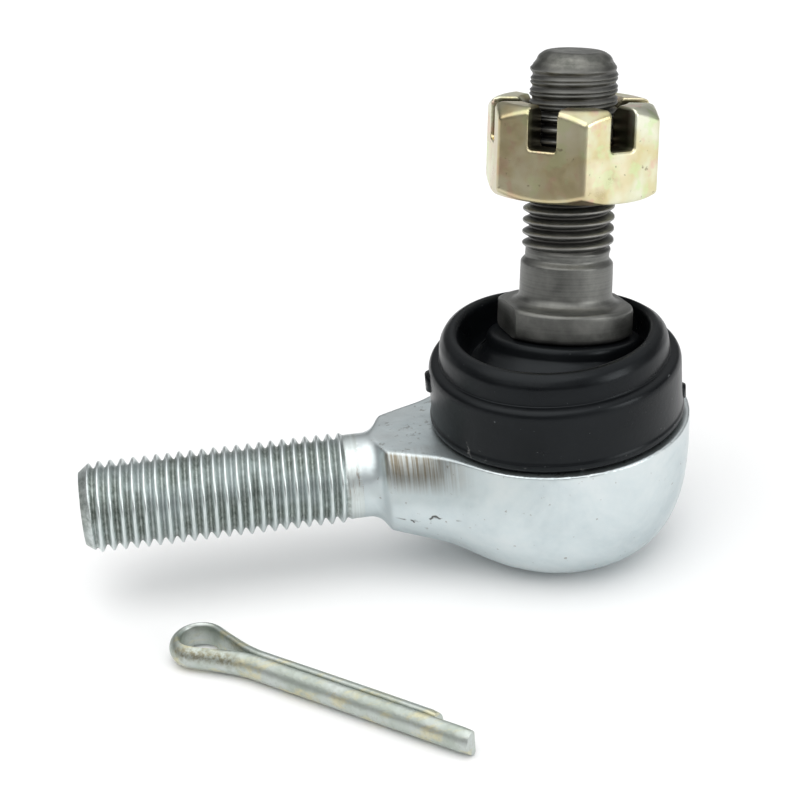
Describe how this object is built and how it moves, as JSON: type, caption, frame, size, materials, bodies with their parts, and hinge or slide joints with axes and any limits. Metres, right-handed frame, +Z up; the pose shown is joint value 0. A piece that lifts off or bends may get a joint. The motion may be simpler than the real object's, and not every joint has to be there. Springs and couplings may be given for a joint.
{
  "type": "tie rod end",
  "caption": "Tie rod end: threaded shank with a ball socket, rubber dust boot, tapered-neck ball stud, castle nut and loose cotter pin.",
  "frame": {"origin": "centre of the ball", "axes": "+Z up the socket's axis through the boot, -X along the threaded shank, so +X points away from it; +Y completes the right-handed frame"},
  "size_m": [0.0665, 0.0567, 0.0545],
  "materials": {
    "zinc_steel": "satin bright zinc plate on a forging",
    "stud_steel": "dark grey phosphated machined steel",
    "yellow_zinc": "yellow chromated zinc",
    "pin_zinc": "clear chromated zinc with a green and yellow tint",
    "boot_rubber": "satin moulded black rubber",
    "seat_resin": "natural acetal resin",
    "spring_steel": "plain oiled spring steel"
  },
  "bodies": {
    "socket": {"socket_housing": "zinc_steel", "preload_washer": "spring_steel", "lower_seat": "seat_resin", "upper_seat": "seat_resin", "retaining_ring": "spring_steel"},
    "boot": {"dust_boot": "boot_rubber", "boot_band_insert": "spring_steel"},
    "cuff": {"boot_neck_ring": "spring_steel"},
    "stud": {"ball_stud": "stud_steel"},
    "nut": {"castle_nut": "yellow_zinc"},
    "pin": {"cotter_pin": "pin_zinc"}
  },
  "joints": [
    {"name": "lean_direction", "type": "hinge", "parent": "socket", "child": "boot", "pos_m": [0, 0, 0], "axis": [0, 0, 1], "continuous": true},
    {"name": "stud_lean", "type": "hinge", "parent": "boot", "child": "cuff", "pos_m": [0, 0, 0], "axis": [-0.8763, 0.4817, 0], "range_deg": [-14.4, 3.6], "deforming": ["dust_boot"]},
    {"name": "stud_spin", "type": "hinge", "parent": "cuff", "child": "stud", "pos_m": [0, 0, 0], "axis": [0.1198, 0.2179, 0.9686], "continuous": true},
    {"name": "nut_travel", "type": "slide", "parent": "stud", "child": "nut", "axis": [0.1198, 0.2179, 0.9686], "range_m": [-0.0062, 0.0162]},
    {"name": "pin_lift", "type": "slide", "parent": "socket", "child": "pin", "axis": [0, 0, 1], "range_m": [0, 0.04]}
  ]
}
